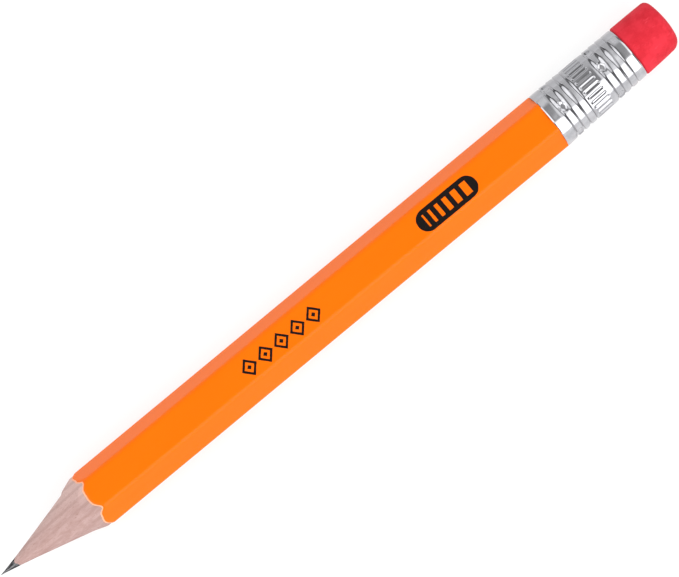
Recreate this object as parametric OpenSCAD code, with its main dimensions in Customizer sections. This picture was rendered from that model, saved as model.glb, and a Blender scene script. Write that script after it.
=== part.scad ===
// Short wood-cased graphite pencil with a metal ferrule and an eraser.
// It lies along X on one flat, with its point towards -X, its printed flat up and its lowest line on Z = 0.

/* [Pencil] */
// Overall length, from the point to the end of the eraser
length = 101.6; // [95:0.1:190]
// Width of the painted body across two opposite flats
across_flats = 6.6; // [6.4:0.1:7.6]
// Rounding of the body's six long corners
corner_r = 0.7; // [0.4:0.1:2.4]
// Diameter of the graphite core
core_d = 1.2; // [1:0.1:2.4]
// Thickness of the glue between the two halves of the casing
glue_t = 0.06; // [0.04:0.01:0.1]

/* [Point] */
// Angle between the sharpened cone and the pencil's axis
point_angle = 14.2; // [10:0.1:18]
// How much of the sharp cone's end is worn away
point_wear = 0.1; // [0.1:0.05:0.6]

/* [Paint] */
// Thickness of the pale undercoat
undercoat_t = 0.06; // [0.04:0.01:0.1]
// Thickness of the coloured lacquer
lacquer_t = 0.08; // [0.05:0.01:0.12]

/* [Ferrule] */
// Length of the ferrule
ferrule_l = 12.4; // [12:0.1:15]
// Outside diameter at the end that meets the body
ferrule_body_d = 7.36; // [7.3:0.02:7.8]
// Outside diameter at the end that holds the eraser
ferrule_eraser_d = 6.92; // [6.8:0.02:7.2]
// Thickness of the metal
ferrule_t = 0.25; // [0.22:0.01:0.3]
// Number of pressed rings in each of the two groups
rings = 4; // [2:1:4]
// Number of flutes around the band between the rings
flutes = 30; // [12:1:36]

/* [Eraser] */
// Length of the eraser that stands out of the ferrule
eraser_out = 5.9; // [4:0.1:8]
// Diameter of the eraser outside the ferrule
eraser_d = 6.72; // [6.4:0.02:6.9]
// Rounding of the eraser's end
eraser_edge_r = 1.2; // [0.4:0.1:2]

/* [Printed marks] */
// Thickness of the printed foil
foil_t = 0.05; // [0.03:0.01:0.08]
// Length of the black grade panel
panel_l = 8.7; // [6:0.1:10]
// Height of the black grade panel
panel_h = 2.8; // [2:0.1:3]
// Length of the lozenge border
border_l = 12.1; // [6:0.1:14]
// Height of the lozenge border
border_h = 2.4; // [1.6:0.1:2.8]

/* [Hidden] */
$fn = 96;

// Places along the axis, counted from the point
eraser_base = length - eraser_out;
shoulder = eraser_base - ferrule_l;
tenon_end = shoulder + ferrule_l / 2;
panel_start = shoulder - 20;
border_start = panel_start - 26.9;

// The body is painted outwards from the wood
paint_t = undercoat_t + lacquer_t;
axis_height = ferrule_body_d / 2;
core_r = core_d / 2;

// The sharpener cuts everything inside this radius and leaves what is beyond it
clear_r = across_flats;
wear_r = point_wear * tan(point_angle);

// Pressed pattern of the ferrule, counted from its end at the body
ring_pitch = 1;
ring_w = 0.6;
ring_depth = 0.1;
first_ring = [1.58, 8.1];
dimple_at = [2.05, 8.55];
dimple_turn = [0, -4];
dimple_r = 0.9;
dimple_depth = 0.16;
flute_start = 4.9;
flute_l = 2.35;
flute_r = 0.3;
flute_depth = 0.12;

// Artwork of the marks, which sit a little off the middle of the flat
mark_offset = -0.22;
bars = 6;
bar_h = 1.7;
bar_thin = 0.25;
bar_step = 0.13;
bar_gap = 0.62;
lozenges = 5;
line_w = 0.27;
diamond_w = 0.6;

// Lays a shape drawn with Z along the axis and Y up on the ground, along X
module lay_down() {
    translate([-length / 2, 0, axis_height])
        rotate([90, 0, 90])
            children();
}

// Points of a hexagon with rounded corners and a flat at its top, inset from the painted body
arc_step = 7.5;
function hexagon_points(inset) =
    let (r = corner_r - inset, centre_r = (across_flats / 2 - corner_r) / cos(30))
    [
        for (corner = [0:60:300], turn = [-30:arc_step:30])
            centre_r * [cos(corner), sin(corner)] + r * [cos(corner + turn), sin(corner + turn)]
    ];

module hexagon_bar(inset, from = 0, to = shoulder) {
    translate([0, 0, from])
        linear_extrude(to - from)
            polygon(hexagon_points(inset));
}

// Everything that the sharpener leaves: a cone at the point and open space behind it
module sharpened() {
    cone_l = clear_r / tan(point_angle) - point_wear;
    intersection() {
        children();
        rotate_extrude()
            polygon([[0, 0], [wear_r, 0], [clear_r, cone_l], [clear_r, length], [0, length]]);
    }
}

// Radius of the inside of the ferrule, which tapers towards the eraser
function seat_r(z) = ferrule_body_d / 2 - ferrule_t
    - (ferrule_body_d - ferrule_eraser_d) / 2 * (z - shoulder) / ferrule_l;

// Both halves and the glue between them, before they are parted: the hexagon, and a tenon with its corners
// turned down to fit the ferrule
module casing_blank() {
    difference() {
        sharpened()
            union() {
                hexagon_bar(paint_t);
                intersection() {
                    hexagon_bar(paint_t, shoulder - 1, tenon_end);
                    translate([0, 0, shoulder])
                        cylinder(h = tenon_end - shoulder, r1 = seat_r(shoulder), r2 = seat_r(tenon_end));
                }
            }
        translate([0, 0, -1])
            cylinder(h = length, r = core_r);
    }
}

// A slab across the whole pencil, between two heights
module slab(low, high) {
    translate([-clear_r, low, -1])
        cube([2 * clear_r, high - low, length + 2]);
}

module casing_upper_half() {
    color("burlywood")
        lay_down()
            intersection() {
                casing_blank();
                slab(glue_t / 2, clear_r);
            }
}

module casing_lower_half() {
    color("tan")
        lay_down()
            intersection() {
                casing_blank();
                slab(-clear_r, -glue_t / 2);
            }
}

module casing_glue_line() {
    color("wheat")
        lay_down()
            intersection() {
                casing_blank();
                slab(-glue_t / 2, glue_t / 2);
            }
}

module graphite_core() {
    cone_l = core_r / tan(point_angle) - point_wear;
    color("dimgray")
        lay_down()
            rotate_extrude()
                polygon([[0, 0], [wear_r, 0], [core_r, cone_l], [core_r, tenon_end], [0, tenon_end]]);
}

// One coat of paint, between two depths under the painted surface
module coat(outer_inset, inner_inset) {
    lay_down()
        sharpened()
            linear_extrude(shoulder)
                difference() {
                    polygon(hexagon_points(outer_inset));
                    polygon(hexagon_points(inner_inset));
                }
}

module undercoat() {
    color("peachpuff")
        coat(lacquer_t, paint_t);
}

module lacquer_coat() {
    color("darkorange")
        coat(0, lacquer_t);
}

// Foil of the given artwork, pressed onto the upper flat and the start of its rounded edges
module foil(start) {
    intersection() {
        lay_down()
            difference() {
                hexagon_bar(-foil_t, border_start - 1, shoulder - 1);
                hexagon_bar(0);
            }
        translate([start - length / 2, mark_offset, axis_height])
            linear_extrude(across_flats)
                children();
    }
}

// Left edge of a bar, counted from the left edge of the first one
function bar_left(i) = i * (bar_thin + bar_gap) + bar_step * i * (i - 1) / 2;

// Black panel with upright bars left out of it, each bolder than the one before
module grade_panel() {
    bars_l = bar_left(bars) - bar_gap;
    color("black")
        foil(panel_start)
            difference() {
                union() {
                    translate([panel_h / 2, -panel_h / 2])
                        square([panel_l - panel_h, panel_h]);
                    for (x = [panel_h / 2, panel_l - panel_h / 2])
                        translate([x, 0])
                            circle(panel_h / 2);
                }
                for (i = [0:bars - 1])
                    translate([(panel_l - bars_l) / 2 + bar_left(i), -bar_h / 2])
                        square([bar_thin + bar_step * i, bar_h]);
            }
}

module lozenge(w, h) {
    polygon([[-w / 2, 0], [0, -h / 2], [w / 2, 0], [0, h / 2]]);
}

// Row of open lozenges with a small solid diamond in each
module lozenge_border() {
    pitch = border_l / lozenges;
    lozenge_w = pitch - line_w;
    thinning = 2 * line_w * sqrt(pow(lozenge_w, 2) + pow(border_h, 2));
    color("black")
        foil(border_start)
            for (i = [0:lozenges - 1])
                translate([pitch * (i + 0.5), 0]) {
                    difference() {
                        lozenge(lozenge_w, border_h);
                        lozenge(lozenge_w - thinning / border_h, border_h - thinning / lozenge_w);
                    }
                    lozenge(diamond_w, diamond_w);
                }
}

// Outer radius of the ferrule before anything is pressed into it
function shell_r(z) = ferrule_body_d / 2 - (ferrule_body_d - ferrule_eraser_d) / 2 * z / ferrule_l;

module ferrule_tube() {
    pressed_rings = [
        for (first = first_ring, i = [0:rings - 1], side = [-2:2])
            let (z = first + i * ring_pitch + side * ring_w / 4)
            [shell_r(z) - ring_depth * cos(side * 45), z]
    ];
    rotate_extrude()
        polygon(concat(
            [[shell_r(0) - ferrule_t, 0], [shell_r(0), 0]],
            pressed_rings,
            [[shell_r(ferrule_l), ferrule_l], [shell_r(ferrule_l) - ferrule_t, ferrule_l]]
        ));
}

module ferrule() {
    color("silver")
        lay_down()
            translate([0, 0, shoulder])
                difference() {
                    ferrule_tube();
                    for (i = [0:flutes - 1])
                        rotate(i * 360 / flutes)
                            translate([shell_r(flute_start) + flute_r - flute_depth, 0, flute_start])
                                cylinder(h = flute_l, r = flute_r);
                    for (row = [0, 1], a = [30:60:330])
                        rotate(a + dimple_turn[row])
                            translate([shell_r(dimple_at[row]) + dimple_r - dimple_depth, 0, dimple_at[row]])
                                sphere(dimple_r);
                }
}

// Points of a quarter turn around the rounded edge of the eraser's end
function eraser_edge() = [
    for (a = [0:10:90])
        [eraser_d / 2 - eraser_edge_r, length - eraser_edge_r] + eraser_edge_r * [cos(a), sin(a)]
];

module eraser() {
    color("crimson")
        lay_down()
            rotate_extrude()
                polygon(concat(
                    [[0, tenon_end], [seat_r(tenon_end), tenon_end], [seat_r(eraser_base), eraser_base]],
                    [[eraser_d / 2, eraser_base]],
                    eraser_edge(),
                    [[0, length]]
                ));
}

casing_upper_half();
casing_lower_half();
casing_glue_line();
graphite_core();
undercoat();
lacquer_coat();
grade_panel();
lozenge_border();
ferrule();
eraser();
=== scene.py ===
import math

import bmesh
import bpy
from mathutils import Matrix, Vector, noise


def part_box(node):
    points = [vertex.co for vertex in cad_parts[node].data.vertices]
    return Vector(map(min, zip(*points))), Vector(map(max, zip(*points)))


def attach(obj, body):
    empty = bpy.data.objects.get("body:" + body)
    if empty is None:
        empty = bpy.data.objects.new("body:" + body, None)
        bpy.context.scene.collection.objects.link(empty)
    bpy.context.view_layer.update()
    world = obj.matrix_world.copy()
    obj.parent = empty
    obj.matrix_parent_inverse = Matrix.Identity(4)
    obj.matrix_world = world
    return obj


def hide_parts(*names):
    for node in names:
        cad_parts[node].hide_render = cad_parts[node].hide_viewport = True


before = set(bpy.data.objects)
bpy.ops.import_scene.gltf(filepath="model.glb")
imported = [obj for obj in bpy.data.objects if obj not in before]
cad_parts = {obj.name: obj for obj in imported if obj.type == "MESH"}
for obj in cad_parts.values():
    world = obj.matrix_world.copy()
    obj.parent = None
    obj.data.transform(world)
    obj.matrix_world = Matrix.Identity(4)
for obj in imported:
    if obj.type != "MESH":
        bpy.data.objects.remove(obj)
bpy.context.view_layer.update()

# Lengths are in millimetres and become metres where a mesh or the camera is made.
# A place on the pencil is its distance from the point, its turn around the axis and its radius.
# The turn is counted from straight up towards -Y.
MM = 0.001
X, Y, Z = 0, 1, 2

# Without a seed, noise_vector gives another result in each run
noise.seed_set(5)


# ---------------------------------------------------------------- sizes that pieces share

def low(node, axis):
    """Lowest coordinate of a CAD node along one axis, in mm."""
    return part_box(node)[0][axis] / MM


def high(node, axis):
    """Highest coordinate of a CAD node along one axis, in mm."""
    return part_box(node)[1][axis] / MM


def extent(node, axis):
    return high(node, axis) - low(node, axis)


TIP = low("graphite_core", X)
AXIS_HEIGHT = (low("lacquer_coat", Z) + high("lacquer_coat", Z)) / 2
APOTHEM = extent("lacquer_coat", Z) / 2
CORNER_REACH = extent("lacquer_coat", Y) / 2
CORNER_R = (APOTHEM - CORNER_REACH * math.cos(math.pi / 6)) / (1 - math.cos(math.pi / 6))
LACQUER_T = (extent("lacquer_coat", Y) - extent("undercoat", Y)) / 2
PAINT_T = (extent("lacquer_coat", Y) - extent("casing_glue_line", Y)) / 2
CORE_R = extent("graphite_core", Y) / 2
GLUE_T = extent("casing_glue_line", Z)
SHOULDER = high("lacquer_coat", X) - TIP
TENON_END = high("graphite_core", X) - TIP
FERRULE_L = extent("ferrule", X)
FERRULE_BODY_R = extent("ferrule", Z) / 2
ERASER_BASE = SHOULDER + FERRULE_L
PENCIL_L = high("eraser", X) - TIP
ERASER_R = extent("eraser", Y) / 2

FLAT_HALF_W = (APOTHEM - CORNER_R) * math.tan(math.pi / 6)

# The sharpened cone goes through the two front edges that the frame shows, and flares a little near the paint
CORE_EDGE = low("casing_upper_half", X) - TIP
LACQUER_EDGE = low("lacquer_coat", X) - TIP
CONE_SLOPE = (APOTHEM - LACQUER_T - CORE_R) / (LACQUER_EDGE - CORE_EDGE)
WEAR = CORE_R / CONE_SLOPE - CORE_EDGE
FLARE_START = 11.7
FLARE_SLOPE = 0.1

# The ferrule is pressed on slightly askew, and pieces that touch keep a hair of room between their meshes
ASKEW = math.radians(1.4)
SKEW = math.tan(ASKEW)
MOUTH_L = 1.0
CLEARANCE = 0.01


# ---------------------------------------------------------------- geometry helpers

def smooth(value, start, end):
    """0 before start, 1 after end and an even curve between them."""
    t = min(1.0, max(0.0, (value - start) / (end - start)))
    return t * t * (3 - 2 * t)


def turn_from(angle, middle):
    """Signed turn from middle to angle, between minus and plus half a turn."""
    return (angle - middle + math.pi) % (2 * math.pi) - math.pi


def speckle(x, angle, along, around, seed=0.0):
    """Seamless noise between -1 and 1 on the pencil's surface, with the given cells per mm and per radian."""
    return noise.noise(Vector((x * along + seed, math.cos(angle) * around, math.sin(angle) * around + seed)))


def hexagon_r(angle, inset):
    """Radius of the rounded hexagon, which has a flat on top, inset from the painted surface."""
    off_flat = abs(turn_from(angle * 6, 0)) / 6
    if APOTHEM * math.tan(off_flat) <= FLAT_HALF_W:
        return (APOTHEM - inset) / math.cos(off_flat)
    off_corner = math.pi / 6 - off_flat
    centre_r = (APOTHEM - CORNER_R) / math.cos(math.pi / 6)
    r = CORNER_R - inset
    return centre_r * math.cos(off_corner) + math.sqrt(r * r - (centre_r * math.sin(off_corner)) ** 2)


def cone_r(x):
    return (x + WEAR) * CONE_SLOPE


def cut_x(r):
    """Distance from the point at which the sharpened cone, which flares at its end, reaches a radius."""
    flare_r = cone_r(FLARE_START)
    if r < flare_r:
        return r / CONE_SLOPE - WEAR
    return FLARE_START + (r - flare_r) / (CONE_SLOPE + FLARE_SLOPE)


def place(x, angle, r):
    """A point on the pencil, in the frame. What lies behind the shoulder is askew, but the ferrule's mouth
    still sits square on the shoulder."""
    behind = max(0.0, x - SHOULDER)
    across = -r * math.sin(angle)
    turned_back = across * SKEW * smooth(behind, 0.0, MOUTH_L)
    return Vector((TIP + x - turned_back, across + behind * SKEW, AXIS_HEIGHT + r * math.cos(angle))) * MM


def steps(start, end, count):
    """count + 1 even steps from start to end."""
    return [start + (end - start) * i / count for i in range(count + 1)]


def turned(profile, turns, hollow):
    """Points and faces of a solid turned around the axis, from profile(angle), which lists (x, radius) pairs.
    A hollow solid's profile is a closed loop, and a full one's starts and ends on the axis."""
    angles = steps(0, 2 * math.pi, turns)[:-1]
    lines = [[place(x, angle, r) for x, r in profile(angle)] for angle in angles]
    count = len(lines[0])
    faces = []
    for i in range(turns):
        this = i * count
        after = (i + 1) % turns * count
        for j in range(count if hollow else count - 1):
            k = (j + 1) % count
            faces.append((this + j, this + k, after + k, after + j))
    return [p for line in lines for p in line], faces


def piece(name, points, faces, material, slot, nodes, sharp_angle=40):
    """Makes one closed, smoothly shaded piece that stands for the given CAD nodes."""
    mesh = bpy.data.meshes.new(name)
    mesh.from_pydata(points, [], faces)
    shape = bmesh.new()
    shape.from_mesh(mesh)
    bmesh.ops.remove_doubles(shape, verts=shape.verts, dist=0.0001 * MM)
    bmesh.ops.recalc_face_normals(shape, faces=shape.faces)
    shape.to_mesh(mesh)
    shape.free()
    mesh.shade_smooth()
    mesh.set_sharp_from_angle(angle=math.radians(sharp_angle))
    made = bpy.data.objects.new(name, mesh)
    bpy.context.scene.collection.objects.link(made)
    made.data.materials.append(material)
    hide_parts(*nodes)
    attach(made, "root")
    return made


# ---------------------------------------------------------------- material helpers

def srgb(red, green, blue):
    """Linear colour of an 0-255 screen colour."""
    shares = [c / 255 for c in (red, green, blue)]
    return tuple(s / 12.92 if s <= 0.04045 else ((s + 0.055) / 1.055) ** 2.4 for s in shares) + (1.0,)


def add(tree, kind, inputs=None, **settings):
    """Adds a shader node. Its inputs are values, or outputs of other nodes."""
    made = tree.nodes.new("ShaderNode" + kind)
    for name, value in settings.items():
        setattr(made, name, value)
    for key, value in (inputs or {}).items():
        if isinstance(value, bpy.types.NodeSocket):
            tree.links.new(value, made.inputs[key])
        else:
            made.inputs[key].default_value = value
    return made


def math_node(tree, operation, first, second=0.0):
    return add(tree, "Math", {0: first, 1: second}, operation=operation).outputs[0]


def both(tree, first, second):
    """The product of two shares: 1 only where both are 1."""
    return math_node(tree, "MULTIPLY", first, second)


def band(tree, value, start, end, low_value=0.0, high_value=1.0):
    """A smooth step from low_value to high_value as value goes from start to end."""
    inputs = {"Value": value, 1: start, 2: end, 3: low_value, 4: high_value}
    return add(tree, "MapRange", inputs, interpolation_type="SMOOTHSTEP").outputs[0]


def mix(tree, factor, first, second):
    return add(tree, "Mix", {0: factor, 6: first, 7: second}, data_type="RGBA").outputs[2]


def in_mm(tree, stretch=(1, 1, 1), turn=0.0):
    """The place on the pencil in mm, stretched for a pattern that is finer in some directions."""
    where = add(tree, "TexCoord").outputs["Object"]
    scale = [s / MM for s in stretch]
    return add(tree, "Mapping", {"Vector": where, "Scale": scale, "Rotation": (0, 0, turn)}).outputs[0]


def cells(tree, vector, scale, detail=2.0, roughness=0.5, distortion=0.0):
    """Cloudy noise between 0 and 1, with the given cells per unit of vector."""
    shape = {"Scale": scale, "Detail": detail, "Roughness": roughness, "Distortion": distortion}
    return add(tree, "TexNoise", {"Vector": vector, **shape}).outputs[0]


def bump(tree, height, distance, strength=1.0, before=None):
    """Normals of a surface that height raises by up to distance mm."""
    inputs = {"Height": height, "Distance": distance * MM, "Strength": strength}
    if before is not None:
        inputs["Normal"] = before
    return add(tree, "Bump", inputs).outputs[0]


def new_material(name, **constants):
    """An empty Principled material, with its constant values set on the shader's own sockets."""
    made = bpy.data.materials.new(name)
    made.use_nodes = True
    shader = made.node_tree.nodes["Principled BSDF"]
    for key, value in constants.items():
        shader.inputs[key.replace("_", " ")].default_value = value
    return made, made.node_tree, shader


def drive(tree, shader, **sockets):
    """Links pattern outputs to the shader's sockets."""
    for key, value in sockets.items():
        tree.links.new(value, shader.inputs[key.replace("_", " ")])


# ---------------------------------------------------------------- materials

def wood_material(name, seed, growth_axis):
    """Bare pinkish softwood: faint growth rings, long soft streaks, fine fibres and a few thin resin ducts.
    It is painted paler towards +Y: painted light that lifts the shade on that side, away from the key."""
    made, tree, shader = new_material(name, Specular_IOR_Level=0.25)
    streaks = cells(tree, in_mm(tree, (0.28, 2.2, 2.2), 0.05), 1.0 + seed, 4, 0.6, 0.4)
    rings = {"Vector": in_mm(tree, (0.03, 0.3, 0.3), 0.05), "Scale": 1.0, "Distortion": 1.2, "Detail": 2.0}
    growth = add(tree, "TexWave", rings, bands_direction=growth_axis).outputs["Fac"]
    fibres = cells(tree, in_mm(tree, (0.3, 12, 12), 0.06), 1.0, 3, 0.65)
    ducts = cells(tree, in_mm(tree, (0.45, 8, 8), 0.06), 1.0, 1, 0.5)
    across = add(tree, "SeparateXYZ", {0: in_mm(tree)}).outputs[Y]
    dark = srgb(148, 115, 109)
    colour = mix(tree, band(tree, streaks, 0.35, 0.62), srgb(168, 137, 131), srgb(179, 150, 145))
    # Painted light: the wood is lighter towards +Y, where it lies in shade away from the key
    colour = mix(tree, band(tree, across, -0.8, 3.0), colour, srgb(205, 174, 168))
    colour = mix(tree, band(tree, growth, 0.55, 1.0, 0, 0.3), colour, dark)
    colour = mix(tree, band(tree, fibres, 0.5, 0.75, 0, 0.55), colour, dark)
    colour = mix(tree, band(tree, ducts, 0.66, 0.76, 0, 0.4), colour, srgb(128, 88, 80))
    roughness = band(tree, fibres, 0.3, 0.7, 0.62, 0.85)
    surface = bump(tree, streaks, 0.02, 0.6, bump(tree, fibres, 0.014))
    drive(tree, shader, Base_Color=colour, Roughness=roughness, Normal=surface)
    return made


def graphite_material():
    """Dark clay and graphite: fine scratches from the sharpener and burnished streaks along the lead."""
    made, tree, shader = new_material("graphite", Metallic=1.0, Specular_Tint=(0.12, 0.12, 0.12, 1))
    scratches = cells(tree, in_mm(tree, (12, 2, 2)), 1.6, 3, 0.6)
    burnished = cells(tree, in_mm(tree, (0.4, 3.2, 3.2)), 1.0, 2, 0.6)
    streaks = cells(tree, in_mm(tree, (0.7, 14, 14)), 1.0, 2, 0.6)
    grains = cells(tree, in_mm(tree), 14, 2)
    shine = both(tree, band(tree, burnished, 0.42, 0.62), band(tree, streaks, 0.3, 0.55, 0.45, 1.0))
    colour = mix(tree, scratches, (0.02, 0.02, 0.022, 1), (0.05, 0.05, 0.052, 1))
    colour = mix(tree, shine, colour, (0.19, 0.19, 0.195, 1))
    drive(tree, shader, Base_Color=colour, Roughness=band(tree, grains, 0.3, 0.7, 0.3, 0.5),
          Normal=bump(tree, scratches, 0.012, 0.8))
    return made


def undercoat_material():
    """Pale peach primer, matt and a little chalky where it is cut."""
    made, tree, shader = new_material("undercoat", Roughness=0.75)
    chalk = cells(tree, in_mm(tree), 6, 3)
    drive(tree, shader, Base_Color=mix(tree, chalk, srgb(236, 152, 110), srgb(240, 184, 150)),
          Normal=bump(tree, chalk, 0.01))
    return made


def lacquer_material():
    """Glossy orange lacquer with a faint orange-peel surface and a few rubbed patches."""
    made, tree, shader = new_material("orange_lacquer", Specular_IOR_Level=0.11)
    clouds = cells(tree, in_mm(tree, (0.12, 0.5, 0.5)), 1.0, 3)
    peel = cells(tree, in_mm(tree, (0.8, 1.6, 1.6)), 1.3, 2)
    rubbed = cells(tree, in_mm(tree, (1.2, 9, 9)), 1.5, 4, 0.7)
    colour = mix(tree, clouds, (0.83, 0.136, 0.0008, 1), (0.87, 0.151, 0.0015, 1))
    drive(tree, shader, Base_Color=colour, Roughness=band(tree, rubbed, 0.45, 0.75, 0.10, 0.22),
          Normal=bump(tree, peel, 0.008, 0.6))
    return made


def foil_material():
    """Black hot-stamped foil, with pinholes and thin places that let the lacquer through."""
    made, tree, shader = new_material("black_foil", Specular_IOR_Level=0.12)
    thin = cells(tree, in_mm(tree), 2.2, 4, 0.7)
    pinholes = cells(tree, in_mm(tree), 9, 1)
    worn = band(tree, thin, 0.55, 0.8, 0, 0.5)
    colour = mix(tree, worn, (0.0035, 0.0022, 0.002, 1), (0.03, 0.010, 0.004, 1))
    colour = mix(tree, band(tree, pinholes, 0.78, 0.82), colour, (0.45, 0.08, 0.003, 1))
    drive(tree, shader, Base_Color=colour, Roughness=band(tree, thin, 0.3, 0.7, 0.42, 0.6),
          Normal=bump(tree, thin, 0.004))
    return made


def along_and_depth(tree):
    """Place along the ferrule from its body end, and how far the surface lies under the unpressed tube."""
    placing = {"Location": (TIP + SHOULDER, 0, AXIS_HEIGHT), "Rotation": (0, 0, ASKEW)}
    local = add(tree, "Mapping", {"Vector": in_mm(tree), **placing}, vector_type="TEXTURE").outputs[0]
    along = add(tree, "SeparateXYZ", {0: local}).outputs[X]
    around = add(tree, "VectorMath", {0: local, 1: (0, 1, 1)}, operation="MULTIPLY").outputs[0]
    r = add(tree, "VectorMath", {0: around}, operation="LENGTH").outputs["Value"]
    taper = math_node(tree, "MULTIPLY", along, FERRULE_TAPER / FERRULE_L)
    shell = math_node(tree, "SUBTRACT", FERRULE_BODY_R, taper)
    return along, math_node(tree, "SUBTRACT", shell, r)


def ferrule_material():
    """Pressed aluminium with fine scratches around it and duller patches. Painted shade darkens the pattern's
    lands and, most of all, the walls of its rings, and the +Y side; the floors and the lands at -Y, towards
    the key, stay bright."""
    made, tree, shader = new_material("pressed_aluminium", Metallic=1.0)
    around = cells(tree, in_mm(tree, (22, 1.2, 1.2)), 1.0, 3, 0.6)
    dull = cells(tree, in_mm(tree), 0.9, 4, 0.6)
    side = add(tree, "SeparateXYZ", {0: in_mm(tree)}).outputs[Y]
    colour = mix(tree, band(tree, dull, 0.35, 0.65), (0.56, 0.56, 0.585, 1), (0.46, 0.46, 0.485, 1))
    along, depth = along_and_depth(tree)
    patterned_span = both(tree, band(tree, along, 1.0, 1.3), band(tree, along, 11.3, 11.6, 1, 0))
    # Painted shade on the shallow parts of the pattern, its lands, left off at -Y where they face the key
    shallow_shade = both(tree, band(tree, depth, 0.10, 0.13, 0.55, 0), band(tree, side, -2.9, -2.0))
    # Painted shade in the walls of the rings, the creases of the pattern
    walls = both(tree, band(tree, depth, 0.01, 0.05), band(tree, depth, 0.08, 0.11, 0.6, 0))
    colour = mix(tree, both(tree, patterned_span, shallow_shade), colour, (0.34, 0.34, 0.355, 1))
    colour = mix(tree, both(tree, patterned_span, walls), colour, (0.16, 0.16, 0.17, 1))
    # Painted shade towards +Y, the side away from the key
    colour = mix(tree, band(tree, side, 2.1, 3.0, 0, 0.8), colour, (0.37, 0.37, 0.39, 1))
    scratched = band(tree, around, 0.55, 0.8, 0, 0.1)
    roughness = math_node(tree, "ADD", band(tree, dull, 0.35, 0.7, 0.07, 0.16), scratched)
    drive(tree, shader, Base_Color=colour, Roughness=roughness, Normal=bump(tree, around, 0.0015, 0.6))
    return made


def eraser_material():
    """Matt pink-red rubber with pits, fine grains, a soft bloom and a few rubbed, paler places."""
    made, tree, shader = new_material("red_rubber", Specular_IOR_Level=0.12)
    mottled = cells(tree, in_mm(tree), 0.55, 3, 0.6)
    pits = cells(tree, in_mm(tree), 5, 3, 0.7)
    rubbed = cells(tree, in_mm(tree, (0.5, 1.5, 1.5)), 1.1, 5, 0.75)
    grains = cells(tree, in_mm(tree), 16, 2)
    colour = mix(tree, band(tree, mottled, 0.35, 0.65), srgb(196, 36, 49), srgb(210, 46, 60))
    colour = mix(tree, band(tree, rubbed, 0.56, 0.72, 0, 0.5), colour, srgb(222, 70, 84))
    colour = mix(tree, band(tree, pits, 0.6, 0.75, 0, 0.6), colour, srgb(160, 22, 36))
    skin = bump(tree, pits, 0.045, 0.5)
    drive(tree, shader, Base_Color=colour, Roughness=band(tree, grains, 0.3, 0.7, 0.6, 0.8),
          Normal=bump(tree, grains, 0.02, 0.5, skin))
    return made


def glue_material():
    """Dried yellowish wood glue, slightly grainy."""
    made, tree, shader = new_material("wood_glue", Roughness=0.55)
    grains = cells(tree, in_mm(tree), 5, 3)
    drive(tree, shader, Base_Color=mix(tree, grains, srgb(134, 104, 80), srgb(164, 133, 108)),
          Normal=bump(tree, grains, 0.01))
    return made


# ---------------------------------------------------------------- wood, glue and graphite

# The lead is a little oval and uneven where it meets the wood, and one stroke of the sharpener left a deeper
# facet. Fibres rise from the wood, and are lower in the last millimetre before the paint.
CORE_SHARE = 0.88
CORE_OVAL = 0.08
CORE_UNEVEN = 0.05
FACET_ANGLE = math.radians(-84)
FACET_HALF_W = math.radians(48)
FACET_CORE = 0.35
FACET_END = 11.25
FACET_STEP = 0.5
FACET_DEPTH = 0.17
CONE_HOLLOW = 0.09
HOLLOW_POWER = 0.6
CONE_WAVES = 0.012
WAVES_FROM = (0.5, 4.0)
CONE_STEPS = 110
WOOD_TURNS = 200
HALVINGS = 30
FINE_FIBRES = 0.010
COARSE_FIBRES = 0.012
FIBRES_FROM = (3.0, 5.0)
FIBRES_LOST = 0.7
GLUE_SUNK = 0.015
GLUE_LEAST = 0.005
LEAD_TURNS = 120
LEAD_STEPS = 44
LEAD_UNEVEN = 0.05
LEAD_BURIED = 0.985


def core_r(angle):
    """Radius at which the graphite gives way to wood, which is never quite even."""
    uneven = CORE_UNEVEN * speckle(0, angle, 1, 1.3, 4.0)
    return CORE_R * (CORE_SHARE - CORE_OVAL * math.cos(2 * angle) + uneven)


def facet_share(angle):
    """1 in the middle of the deeper facet that one stroke of the sharpener left, and 0 beside it."""
    return 1 - smooth(abs(turn_from(angle, FACET_ANGLE)) / FACET_HALF_W, FACET_CORE, 1.0)


def sharpened_r(x, angle):
    """Radius of the sharpened cone, which is slightly hollow and flares at its end, with one deeper facet."""
    along = min(x / FACET_END, 1.0) * (1 - smooth(x, FACET_END, FACET_END + FACET_STEP))
    facet = FACET_DEPTH * facet_share(angle) * along
    share = min(1.0, max(0.0, x / LACQUER_EDGE))
    hollow = CONE_HOLLOW * math.sin(math.pi * share ** HOLLOW_POWER)
    waves = CONE_WAVES * speckle(x, angle, 0.35, 2.2, 7.0) * smooth(x, *WAVES_FROM)
    flare = FLARE_SLOPE * max(0.0, x - FLARE_START)
    return cone_r(x) + flare - hollow - facet + waves


def core_end(angle):
    """Distance from the point at which the sharpened cone comes out of the graphite, found by halving."""
    near = 0.5
    far = 2 * cut_x(CORE_R)
    for _ in range(HALVINGS):
        middle = (near + far) / 2
        if sharpened_r(middle, angle) < core_r(angle):
            near = middle
        else:
            far = middle
    return far


def fibre_relief(x, angle, edge):
    """Height of the wood's raised fibres, which lie along the pencil."""
    fine = FINE_FIBRES * speckle(x, angle, 0.55, 26, 2.0)
    coarse = COARSE_FIBRES * speckle(x, angle, 0.30, 9, 5.0)
    return (fine + coarse) * smooth(x, *FIBRES_FROM) * (1 - FIBRES_LOST * smooth(x, edge - 1.0, edge))


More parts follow.
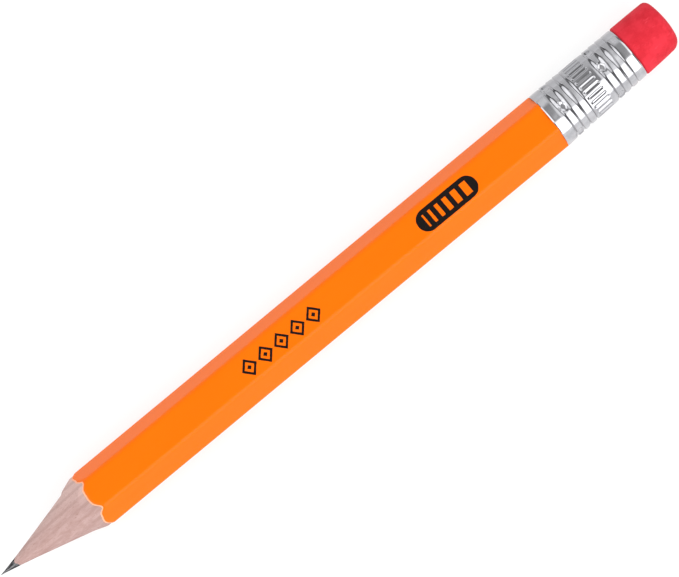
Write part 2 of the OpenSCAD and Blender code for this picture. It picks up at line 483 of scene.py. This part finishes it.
def wood_line(angle):
    """Outer line of the wood at one turn: the cone, the hexagon under the paint and the tenon, whose corners
    are turned down to fit the ferrule."""
    start = core_end(angle)
    body_r = hexagon_r(angle, PAINT_T)
    edge = cut_x(body_r)
    cone = [
        (x, sharpened_r(x, angle) + fibre_relief(x, angle, edge))
        for x in steps(start, edge, CONE_STEPS)
    ]
    seat_r = FERRULE_BODY_R - FERRULE_TAPER / 2 - FERRULE_T
    tenon_r = min(body_r, seat_r) - CLEARANCE
    return cone + [(edge + 0.5, body_r), (SHOULDER, body_r), (SHOULDER, tenon_r), (TENON_END, tenon_r)]


def casing_half(side):
    """Points and faces of one half of the casing. side is 1 for the upper half and -1 for the lower one."""
    middle = 0 if side > 0 else math.pi
    points = []
    faces = []
    angles = steps(middle - math.pi / 2, middle + math.pi / 2, WOOD_TURNS)
    for angle in angles:
        outer = wood_line(angle)
        inner = [(x, core_r(angle)) for x, r in outer]
        for x, r in outer + inner[::-1]:
            p = place(x, angle, r)
            offset = side * max(side * (p.z - AXIS_HEIGHT * MM), GLUE_T / 2 * MM)
            points.append(Vector((p.x, p.y, AXIS_HEIGHT * MM + offset)))
    count = len(points) // len(angles)
    for i in range(len(angles) - 1):
        for j in range(count):
            k = (j + 1) % count
            faces.append((i * count + j, i * count + k, (i + 1) * count + k, (i + 1) * count + j))
    for first in (0, (len(angles) - 1) * count):
        for j in range(count // 2 - 1):
            faces.append((first + j, first + j + 1, first + count - 2 - j, first + count - 1 - j))
    return points, faces


def glue_line():
    """Points and faces of the two strips of glue, which end just under the wood's surface."""
    points = []
    faces = []
    for angle in (math.pi / 2, -math.pi / 2):
        first = len(points)
        line = wood_line(angle)
        inner = core_r(angle)
        for x, r in line:
            outer = max(r - GLUE_SUNK, inner + GLUE_LEAST)
            for radius, rise in ((inner, -1), (outer, -1), (outer, 1), (inner, 1)):
                points.append(place(x, angle, radius) + Vector((0, 0, rise * GLUE_T / 2 * MM)))
        for j in range(len(line) - 1):
            a = first + 4 * j
            for k in range(4):
                m = (k + 1) % 4
                faces.append((a + k, a + m, a + 4 + m, a + 4 + k))
        last = first + 4 * (len(line) - 1)
        faces.append((first, first + 1, first + 2, first + 3))
        faces.append((last, last + 1, last + 2, last + 3))
    return points, faces


def graphite_line(angle):
    """Line of the graphite at one turn: a worn tip, the sharpened cone and the buried core."""
    edge = core_end(angle)
    tip_r = cone_r(0.0)
    worn = [(0.0, 0.0), (0.0, tip_r * 0.5), (0.012, tip_r * 0.85), (0.05, tip_r)]
    cone = []
    for x in steps(0.12, edge, LEAD_STEPS):
        uneven = LEAD_UNEVEN * smooth(x, 0.1, 1.2) * speckle(x, angle, 0.5, 1.6, 9.0)
        cone.append((x, sharpened_r(x, angle) * (1 + uneven)))
    buried = core_r(angle) * LEAD_BURIED
    return worn + cone + [(edge + 0.3, buried), (TENON_END, buried), (TENON_END, 0.0)]


# ---------------------------------------------------------------- paint

# The paint starts at these distances behind the sharpened cone, with a front that is ragged on two scales
PAINT_TURNS = 360
CORNER_RETREAT = 0.60
SIDE_CORNER_RETREAT = 0.42
FLAT_RETREAT = 1.03
FAR_FLAT = math.radians(-60)
FAR_FLAT_RETREAT = 1.33
RAGGED = 0.08
FRAYED = 0.04
CUT_EDGE = 0.03
CUT_ROUND = 0.012
LACQUER_WAVES = 0.006


def paint_retreat(angle):
    """How far behind the sharpened cone the paint starts at that turn. The blade lifted more of it off the
    flats than off the corners, most off the far flat and least off the two corners at the sides."""
    on_flat = math.cos(6 * angle) * 0.5 + 0.5
    on_far_flat = math.cos(min(3 * abs(turn_from(angle, FAR_FLAT)), math.pi / 2))
    at_side = math.sin(angle) ** 12
    retreat = CORNER_RETREAT + (FLAT_RETREAT - CORNER_RETREAT) * on_flat
    retreat += (FAR_FLAT_RETREAT - FLAT_RETREAT) * on_far_flat
    retreat -= (CORNER_RETREAT - SIDE_CORNER_RETREAT) * at_side
    return retreat + RAGGED * speckle(0, angle, 1, 3.0, 11.0) + FRAYED * speckle(0, angle, 1, 14.0, 12.0)


def coat_line(angle, outer_inset, inner_inset, body_steps, waves):
    """Closed loop through one coat of paint at one turn. Its front is cut at the cone's slope."""
    inner_r = hexagon_r(angle, inner_inset)
    outer_r = hexagon_r(angle, outer_inset)
    front = cut_x(inner_r) + paint_retreat(angle)
    lip = cut_x(outer_r) + paint_retreat(angle)
    halfway = ((front + lip) / 2, (inner_r + outer_r) / 2)
    cut = [(front, inner_r), halfway, (lip - CUT_EDGE, outer_r - CUT_ROUND)]
    body = [
        (x, outer_r + waves * speckle(x, angle, 0.12, 1.2, 3.0) * smooth(x, lip, lip + 2))
        for x in steps(lip + CUT_EDGE, SHOULDER, body_steps)
    ]
    return cut + body + [(SHOULDER, inner_r), (SHOULDER / 2, inner_r)]


def undercoat_line(angle):
    return coat_line(angle, LACQUER_T, PAINT_T, 4, 0.0)


def lacquer_line(angle):
    return coat_line(angle, 0.0, LACQUER_T, 90, LACQUER_WAVES)


# ---------------------------------------------------------------- printed marks

# The black panel has bars left out of it, and the border is a row of lozenges. Foil sinks a little into the
# lacquer, and its edge strays from the outline.
FOIL_T = 0.022
FOIL_SINK = 0.012
BARS = 6
BAR_H = 1.7
BAR_THIN = 0.25
BAR_STEP = 0.13
BAR_GAP = 0.62
LOZENGES = 5
LINE_W = 0.27
DIAMOND_W = 0.6
ARC_STEPS = 24
INK_STEP = 0.1
INK_STRAY = 0.022
INK_CELLS = 2.5
STRIP_W = 0.12
MERGE_W = 0.002


def box_outline(left, right, bottom, top):
    return [(left, bottom), (right, bottom), (right, top), (left, top)]


def lozenge_outline(middle, width, height):
    return [(middle - width / 2, 0), (middle, -height / 2), (middle + width / 2, 0), (middle, height / 2)]


def capsule_outline(length, height):
    """A bar with round ends."""
    r = height / 2
    return [
        (side * (length / 2 - r) + r * math.sin(turn) * side, -side * r * math.cos(turn))
        for side in (1, -1)
        for turn in steps(0, math.pi, ARC_STEPS)
    ]


def panel_outlines(length, height):
    """Black capsule with upright bars left out of it, each bolder than the one before."""
    widths = [BAR_THIN + BAR_STEP * i for i in range(BARS)]
    left = -(sum(widths) + BAR_GAP * (BARS - 1)) / 2
    outlines = [capsule_outline(length, height)]
    for width in widths:
        outlines.append(box_outline(left, left + width, -BAR_H / 2, BAR_H / 2))
        left += width + BAR_GAP
    return outlines


def border_outlines(length, height):
    """Row of open lozenges with a small solid diamond in each."""
    pitch = length / LOZENGES
    width = pitch - LINE_W
    thinning = 2 * LINE_W * math.hypot(width, height)
    outlines = []
    for i in range(LOZENGES):
        middle = pitch * (i + 0.5) - length / 2
        outlines.append(lozenge_outline(middle, width, height))
        outlines.append(lozenge_outline(middle, width - thinning / height, height - thinning / width))
        outlines.append(lozenge_outline(middle, DIAMOND_W, DIAMOND_W))
    return outlines


def inked(outline, seed):
    """The same outline in short steps, with the slightly uneven edge of a stamped print."""
    points = []
    for (x0, y0), (x1, y1) in zip(outline, outline[1:] + outline[:1]):
        count = max(1, round(math.hypot(x1 - x0, y1 - y0) / INK_STEP))
        for i in range(count):
            x = x0 + (x1 - x0) * i / count
            y = y0 + (y1 - y0) * i / count
            stray = noise.noise_vector(Vector((x * INK_CELLS, y * INK_CELLS, seed)))
            points.append((x + INK_STRAY * stray.x, y + INK_STRAY * stray.y))
    return points


def flat_height(across):
    """Height of the lacquer over the axis, on the top flat and its rounded edges."""
    beyond = max(0.0, abs(across) - FLAT_HALF_W)
    return APOTHEM - CORNER_R + math.sqrt(CORNER_R ** 2 - beyond ** 2)


def filled(name, outlines):
    """A flat mesh of the area that lies inside an odd number of the outlines."""
    curve = bpy.data.curves.new(name, "CURVE")
    curve.dimensions = "2D"
    curve.fill_mode = "BOTH"
    for seed, outline in enumerate(outlines):
        points = inked(outline, seed)
        spline = curve.splines.new("POLY")
        spline.points.add(len(points) - 1)
        spline.use_cyclic_u = True
        for spot, (x, y) in zip(spline.points, points):
            spot.co = (x, y, 0, 1)
    drawn = bpy.data.objects.new(name + ".outline", curve)
    mesh = bpy.data.meshes.new_from_object(drawn)
    shape = bmesh.new()
    shape.from_mesh(mesh)
    bpy.data.objects.remove(drawn)
    bpy.data.curves.remove(curve)
    bpy.data.meshes.remove(mesh)
    return shape


def foil(name, node, outlines, material):
    """A printed mark: its filled outlines, cut into strips that can follow the lacquer's rounded edges, laid
    over the top flat and given the foil's thickness."""
    shape = filled(name, outlines)
    half_h = extent(node, Y) / 2
    for y in steps(-half_h, half_h, round(2 * half_h / STRIP_W)):
        everything = shape.verts[:] + shape.edges[:] + shape.faces[:]
        bmesh.ops.bisect_plane(shape, geom=everything, plane_co=(0, y, 0), plane_no=(0, 1, 0))
    bmesh.ops.remove_doubles(shape, verts=shape.verts, dist=MERGE_W)
    shape.verts.index_update()
    middle_x = (low(node, X) + high(node, X)) / 2
    middle_y = (low(node, Y) + high(node, Y)) / 2
    middle = Vector((middle_x, middle_y, AXIS_HEIGHT))
    spots = [middle + spot.co + Vector((0, 0, flat_height(middle_y + spot.co.y))) for spot in shape.verts]
    points = [(spot + Vector((0, 0, rise))) * MM for rise in (-FOIL_SINK, FOIL_T) for spot in spots]
    under = [[spot.index for spot in face.verts] for face in shape.faces]
    over = [[len(spots) + i for i in face] for face in under]
    rim = [[spot.index for spot in edge.verts] for edge in shape.edges if edge.is_boundary]
    walls = [[a, b, len(spots) + b, len(spots) + a] for a, b in rim]
    shape.free()
    return piece(name, points, under + over + walls, material, "black_foil", [node])


# ---------------------------------------------------------------- ferrule

# Distances along the ferrule are counted from its end at the body. A punch row is a distance and its marks'
# turns in degrees, which the press spaced a little unevenly.
FERRULE_TURNS = 450
FERRULE_SHARP_ANGLE = 27
FERRULE_TAPER = 0.22
FERRULE_T = 0.3
RING_GROUPS = (1.58, 8.1)
RINGS = 4
RING_PITCH = 1.0
RING_HALF_WS = (0.28, 0.30, 0.33, 0.22)
RING_WALL_SHARE = 0.38
RING_WALL_DEPTH = 0.1
RING_V_DEPTH = 0.065
RING_LEAST = 0.48
JAWS = 3
JAW_AT = math.radians(-14)
RAKE = 0.07
FLUTES = 30
FLUTE_START = 4.95
FLUTE_END = 7.15
FLUTE_DEPTH = 0.12
FLUTE_RISE = (-0.12, 0.18)
FLUTE_W = 0.82
PUNCH_ROWS = ((2.05, (-56, 3, 74, 126, 180, 238)), (8.55, (-52, -5, 73, 124, 178, 240)))
PUNCH_HALF_L = 0.62
PUNCH_HALF_W = 0.80
PUNCH_DEPTH = 0.22
PUNCH_WALL_RISE = 0.42
PUNCH_RIM = 0.7
UNEVEN = 0.04
DENTS = 0.02
LIP_L = 0.22
LIP_DROP = 0.07


def ring_share(angle):
    """How far the rings are pressed in at that turn, from 0 to 1. The press has three jaws, which bite
    deepest at their middles."""
    off = turn_from(angle * JAWS, JAW_AT * JAWS) / 2
    return RING_LEAST + (1 - RING_LEAST) * math.cos(off) ** 4


def ring_relief(off, angle, ring):
    """Height of one pressed ring at a distance from its middle: a V with steep walls, between raked lands.
    There is no raked land after the last ring of a group."""
    half_w = RING_HALF_WS[ring] * ring_share(angle)
    floor_w = half_w * (1 - RING_WALL_SHARE)
    away = abs(off)
    rake = 0.0 if ring == RINGS - 1 and off > 0 else RAKE
    if away > half_w:
        return math.copysign(rake * max(0.0, RING_PITCH / 2 - away), off)
    raked = rake * (RING_PITCH / 2 - half_w) * off / half_w
    if away > floor_w:
        return raked - RING_WALL_DEPTH * ring_share(angle) * (half_w - away) / (half_w - floor_w)
    return raked - ring_share(angle) * (RING_WALL_DEPTH + RING_V_DEPTH * (1 - away / floor_w))


def rings_relief(x, angle):
    """Height of the two groups of pressed rings at that place."""
    first = RING_GROUPS[0] if x < (FLUTE_START + FLUTE_END) / 2 else RING_GROUPS[1]
    nearest = min(RINGS - 1, max(0, round((x - first) / RING_PITCH)))
    return ring_relief(x - first - nearest * RING_PITCH, angle, nearest)


def flute_relief(x, angle):
    """Depth of the flutes, whose ends are rounded."""
    off = abs(turn_from(angle * FLUTES, 0)) / math.pi
    from_end = min(x - FLUTE_START, FLUTE_END - x)
    across = 0.5 + 0.5 * math.cos(math.pi * min(1.0, off / FLUTE_W))
    return -FLUTE_DEPTH * smooth(from_end, *FLUTE_RISE) * across


def punch_relief(x, angle):
    """Depth of the punch marks, which have steep walls and a flat floor, and the share of the ring pattern
    that is left around them."""
    depth = 0.0
    left = 1.0
    for middle, turns in PUNCH_ROWS:
        for turn in turns:
            across = turn_from(angle, math.radians(turn)) * FERRULE_BODY_R
            away = math.hypot((x - middle) / PUNCH_HALF_L, across / PUNCH_HALF_W)
            depth -= min(PUNCH_DEPTH, PUNCH_WALL_RISE * max(0.0, 1 - away))
            left *= smooth(away, PUNCH_RIM, 1.0)
    return depth, left


def ferrule_r(x, angle):
    """Outer radius of the ferrule at a distance from its body end."""
    punch, left = punch_relief(x, angle)
    shell = FERRULE_BODY_R - FERRULE_TAPER * x / FERRULE_L
    uneven = UNEVEN * speckle(x, angle, 0.16, 1.5, 21.0) + DENTS * speckle(x, angle, 0.75, 4.5, 25.0)
    from_end = min(x, FERRULE_L - x)
    lip = LIP_DROP * max(0.0, 1 - from_end / LIP_L) ** 2
    return shell + rings_relief(x, angle) * left + flute_relief(x, angle) + punch + uneven - lip


def ring_stations(middle, half_w):
    """Places along one ring and the lands beside it at which the line has points, closest at its walls."""
    floor_w = half_w * (1 - RING_WALL_SHARE)
    one_side = [0.04 * half_w, 0.5 * floor_w, 0.97 * floor_w, (floor_w + half_w) / 2, 0.99 * half_w]
    one_side += steps(1.15 * half_w, RING_PITCH / 2, 3)[:-1]
    across = [-off for off in one_side[::-1]] + [0.0] + one_side + [RING_PITCH / 2]
    return [middle + off for off in across]


def ferrule_stations(angle):
    """Distances from the body end at which the ferrule's line has points."""
    share = ring_share(angle)
    first, second = [
        [
            x
            for i, half_w in enumerate(RING_HALF_WS)
            for x in ring_stations(group + i * RING_PITCH, half_w * share)
        ]
        for group in RING_GROUPS
    ]
    start = steps(0.0, LIP_L, 5) + steps(LIP_L, RING_GROUPS[0] - RING_PITCH / 2, 6)[1:]
    flutes = steps(FLUTE_START + 0.16, RING_GROUPS[1] - RING_PITCH / 2, 34)
    end = steps(second[-1], FERRULE_L - LIP_L, 6)[1:] + steps(FERRULE_L - LIP_L, FERRULE_L, 5)[1:]
    return start + first + flutes + second + end


def ferrule_line(angle):
    """Closed loop through the ferrule's wall at one turn."""
    outer = [(x, ferrule_r(x, angle)) for x in ferrule_stations(angle)]
    inner = [(FERRULE_L, FERRULE_BODY_R - FERRULE_TAPER - FERRULE_T), (0.0, FERRULE_BODY_R - FERRULE_T)]
    return [(SHOULDER + x, r) for x, r in outer + inner]


# ---------------------------------------------------------------- eraser

# The edge is worn more on one side, and the side is pinched where it leaves the ferrule
ERASER_TURNS = 180
ERASER_END_R = 3.36
EDGE_R = 1.1
EDGE_SPREAD = 0.32
DOME = 0.28
PINCH = 0.3
PINCH_L = 0.35
BULGE = 0.1
TAPER_POWER = 1.5
END_GAP = 0.02
ERASER_WAVES = 0.018


def eraser_waves(x, r, angle):
    """How much the eraser bulges or sinks at that place: nothing at the ferrule or the middle of its end."""
    waves = ERASER_WAVES * speckle(x, angle, 0.5, 2.4, 31.0)
    return waves * smooth(x, ERASER_BASE, ERASER_BASE + 1) * smooth(r, 0.0, 0.6)


def eraser_line(angle):
    """Line of the eraser at one turn: a stem in the ferrule, a slight taper, a worn edge and a domed end."""
    edge_r = EDGE_R + EDGE_SPREAD * math.sin(angle)
    side_end = PENCIL_L - DOME - edge_r
    stem_r = FERRULE_BODY_R - FERRULE_TAPER - FERRULE_T - CLEARANCE
    side = []
    for x in steps(ERASER_BASE + END_GAP, side_end, 44):
        share = (x - ERASER_BASE) / (side_end - ERASER_BASE)
        pinch = PINCH * (1 - smooth(x, ERASER_BASE, ERASER_BASE + PINCH_L)) ** 2
        taper = (ERASER_R + BULGE - ERASER_END_R) * share ** TAPER_POWER
        side.append((x, ERASER_R + BULGE - pinch - taper))
    edge = [
        (side_end + edge_r * math.sin(turn), ERASER_END_R - edge_r * (1 - math.cos(turn)))
        for turn in steps(0.1, math.radians(80), 12)
    ]
    last_x, last_r = edge[-1]
    end = [
        (last_x + (PENCIL_L - END_GAP - last_x) * (1 - (r / last_r) ** 2), r)
        for r in steps(last_r, 0.0, 14)[1:]
    ]
    stem = [(TENON_END, 0.0), (TENON_END, stem_r), (ERASER_BASE, stem_r)]
    return [(x, r + eraser_waves(x, r, angle)) for x, r in stem + side + edge + end]


# ---------------------------------------------------------------- the pencil

def build_wood_and_lead():
    upper = wood_material("wood_upper", 0.0, "Y")
    lower = wood_material("wood_lower", 0.13, "Z")
    lead = turned(graphite_line, LEAD_TURNS, hollow=False)
    piece("upper_casing_wood", *casing_half(1), upper, "casing_wood", ["casing_upper_half"])
    piece("lower_casing_wood", *casing_half(-1), lower, "casing_wood", ["casing_lower_half"])
    piece("glue_seam", *glue_line(), glue_material(), "wood_glue", ["casing_glue_line"])
    piece("graphite_lead", *lead, graphite_material(), "graphite", ["graphite_core"])


def build_paint_and_marks():
    primer = turned(undercoat_line, PAINT_TURNS, hollow=True)
    lacquer = turned(lacquer_line, PAINT_TURNS, hollow=True)
    piece("pale_undercoat", *primer, undercoat_material(), "pale_undercoat", ["undercoat"])
    piece("orange_lacquer", *lacquer, lacquer_material(), "orange_lacquer", ["lacquer_coat"])
    black = foil_material()
    panel = panel_outlines(extent("grade_panel", X), extent("grade_panel", Y))
    border = border_outlines(extent("lozenge_border", X) + LINE_W, extent("lozenge_border", Y))
    foil("grade_panel_print", "grade_panel", panel, black)
    foil("lozenge_border_print", "lozenge_border", border, black)


def build_ferrule_and_eraser():
    tube = turned(ferrule_line, FERRULE_TURNS, hollow=True)
    plug = turned(eraser_line, ERASER_TURNS, hollow=False)
    piece("pressed_ferrule", *tube, ferrule_material(), "ferrule_metal", ["ferrule"], FERRULE_SHARP_ANGLE)
    piece("rubber_eraser", *plug, eraser_material(), "eraser_rubber", ["eraser"])


# ---------------------------------------------------------------- studio and camera

FLOOR_REACH = 20000.0
FLOOR_GLOW = 0.70


def floor_material():
    """Pale matt surface with very faint clouds, lit a little from below like a photographer's light table."""
    made, tree, shader = new_material("light_table", Roughness=0.9, Specular_IOR_Level=0.1)
    shader.inputs["Emission Color"].default_value = (1, 1, 1, 1)
    shader.inputs["Emission Strength"].default_value = FLOOR_GLOW
    shade = cells(tree, in_mm(tree), 0.02, 2)
    drive(tree, shader, Base_Color=mix(tree, shade, (0.29, 0.29, 0.29, 1), (0.31, 0.31, 0.31, 1)))
    return made


def floor():
    """Plain pale floor that reaches the horizon."""
    reach = FLOOR_REACH * MM
    corners = [(-reach, -reach, 0), (reach, -reach, 0), (reach, reach, 0), (-reach, reach, 0)]
    mesh = bpy.data.meshes.new("floor")
    mesh.from_pydata(corners, [], [(0, 1, 2, 3)])
    mesh.materials.append(floor_material())
    made = bpy.data.objects.new("floor", mesh)
    bpy.context.scene.collection.objects.link(made)


# Directions across the pencil are in degrees from straight up towards -Y, and so are the soft widths of a
# zone's two sides. An edge is a pair of shares of the direction along the pencil. The rest are strengths.
OVERHEAD = (-48, 24)
OVERHEAD_SOFT = (10, 4)
TOP_GAP = 0.44
TOP_GAP_EDGE = (0.12, 0.40)
TOP_LIGHT_FAR = 1.6
TOP_LIGHT_NEAR = 2.1
KEY_SIDE = (28, 84)
KEY_SOFT = (7, 4)
KEY_LIGHT = 3.4
KEY_FLANKS = 0.35
KEY_EDGE = (0.35, 0.50)
NEAR_SIDE = 1.2
FAR_SIDE = 0.95
FAR_CORNERS = 0.22
FAR_CORNERS_END = (-66, -58)
FAR_EDGE = (0.30, 0.50)
END_WALLS = 0.06
END_EDGE = (0.85, 0.97)


def studio_light():
    """Soft light from all round, drawn as zones of the sky. Across the pencil come a dim far side (+Y), two
    panels overhead with a gap between them for the camera, a bright key panel and a light near side (-Y).
    The walls that the pencil's ends point at are dark."""
    world = bpy.data.worlds.new("studio")
    bpy.context.scene.world = world
    world.use_nodes = True
    tree = world.node_tree
    split = add(tree, "SeparateXYZ", {0: add(tree, "TexCoord").outputs["Generated"]})
    toward_key = math_node(tree, "MULTIPLY", split.outputs[Y], -1.0)
    across = math_node(tree, "ARCTAN2", toward_key, split.outputs[Z])
    off_middle = math_node(tree, "ABSOLUTE", split.outputs[X])

    def ramp(start, end, first, second):
        """From first to second as the direction turns from start to end across the pencil, in degrees."""
        return band(tree, across, math.radians(start), math.radians(end), first, second)

    def zone(start, end, soft_start, soft_end):
        """1 where the direction lies between two angles across the pencil, in degrees, with soft ends."""
        rise = ramp(start - soft_start, start + soft_start, 0, 1)
        fall = ramp(end - soft_end, end + soft_end, 1, 0)
        return both(tree, rise, fall)

    def blend(factor, first, second):
        return add(tree, "Mix", {0: factor, 2: first, 3: second}, data_type="FLOAT").outputs[0]

    def along(edge, first, second):
        """first near the upright plane across the pencil and second beyond the edge, towards both ends."""
        return blend(band(tree, off_middle, *edge), first, second)

    corners = ramp(*FAR_CORNERS_END, FAR_CORNERS, TOP_LIGHT_FAR)
    strength = blend(ramp(-40, 40, 0, 1), along(FAR_EDGE, FAR_SIDE, corners), NEAR_SIDE)
    panels = along(TOP_GAP_EDGE, TOP_GAP, ramp(-60, 20, TOP_LIGHT_FAR, TOP_LIGHT_NEAR))
    strength = blend(zone(*OVERHEAD, *OVERHEAD_SOFT), strength, panels)
    strength = blend(zone(*KEY_SIDE, *KEY_SOFT), strength, along(KEY_EDGE, KEY_LIGHT, KEY_FLANKS))
    strength = along(END_EDGE, strength, END_WALLS)
    tree.links.new(strength, tree.nodes["Background"].inputs["Strength"])
    tree.nodes["Background"].inputs["Color"].default_value = (1.0, 1.0, 1.0, 1.0)


# The field is the width that the picture shows at the pencil, and the aim is counted from the pencil's middle
SENSOR_W = 36.0
FIELD_W = 79.47
CAMERA_DISTANCE = 1000.0
LEAN = math.radians(4.4)
TILT = math.radians(7.0)
ROLL = math.radians(39.63)
AIM_ALONG = 1.04
AIM_BESIDE = 0.56


def camera():
    """A long lens almost overhead, leaning a little to the point's end and to -Y, with the pencil rising to
    the right."""
    back = Vector((-math.sin(LEAN), -math.cos(LEAN) * math.sin(TILT), math.cos(LEAN) * math.cos(TILT)))
    along = (Vector((1, 0, 0)) - back * back.x).normalized()
    beside = back.cross(along)
    right = math.cos(ROLL) * along - math.sin(ROLL) * beside
    up = math.sin(ROLL) * along + math.cos(ROLL) * beside
    aim = Vector((0, 0, AXIS_HEIGHT)) + AIM_ALONG * along + AIM_BESIDE * beside
    lens = bpy.data.cameras.new("camera")
    lens.sensor_width = SENSOR_W
    lens.lens = SENSOR_W * CAMERA_DISTANCE / FIELD_W
    lens.clip_start = 0.01
    lens.clip_end = 50
    made = bpy.data.objects.new("camera", lens)
    bpy.context.scene.collection.objects.link(made)
    turn = Matrix((right, up, back)).transposed().to_4x4()
    made.matrix_world = Matrix.Translation((aim + back * CAMERA_DISTANCE) * MM) @ turn
    bpy.context.scene.camera = made


build_wood_and_lead()
build_paint_and_marks()
build_ferrule_and_eraser()
floor()
studio_light()
camera()
bpy.context.scene.view_settings.view_transform = "Standard"
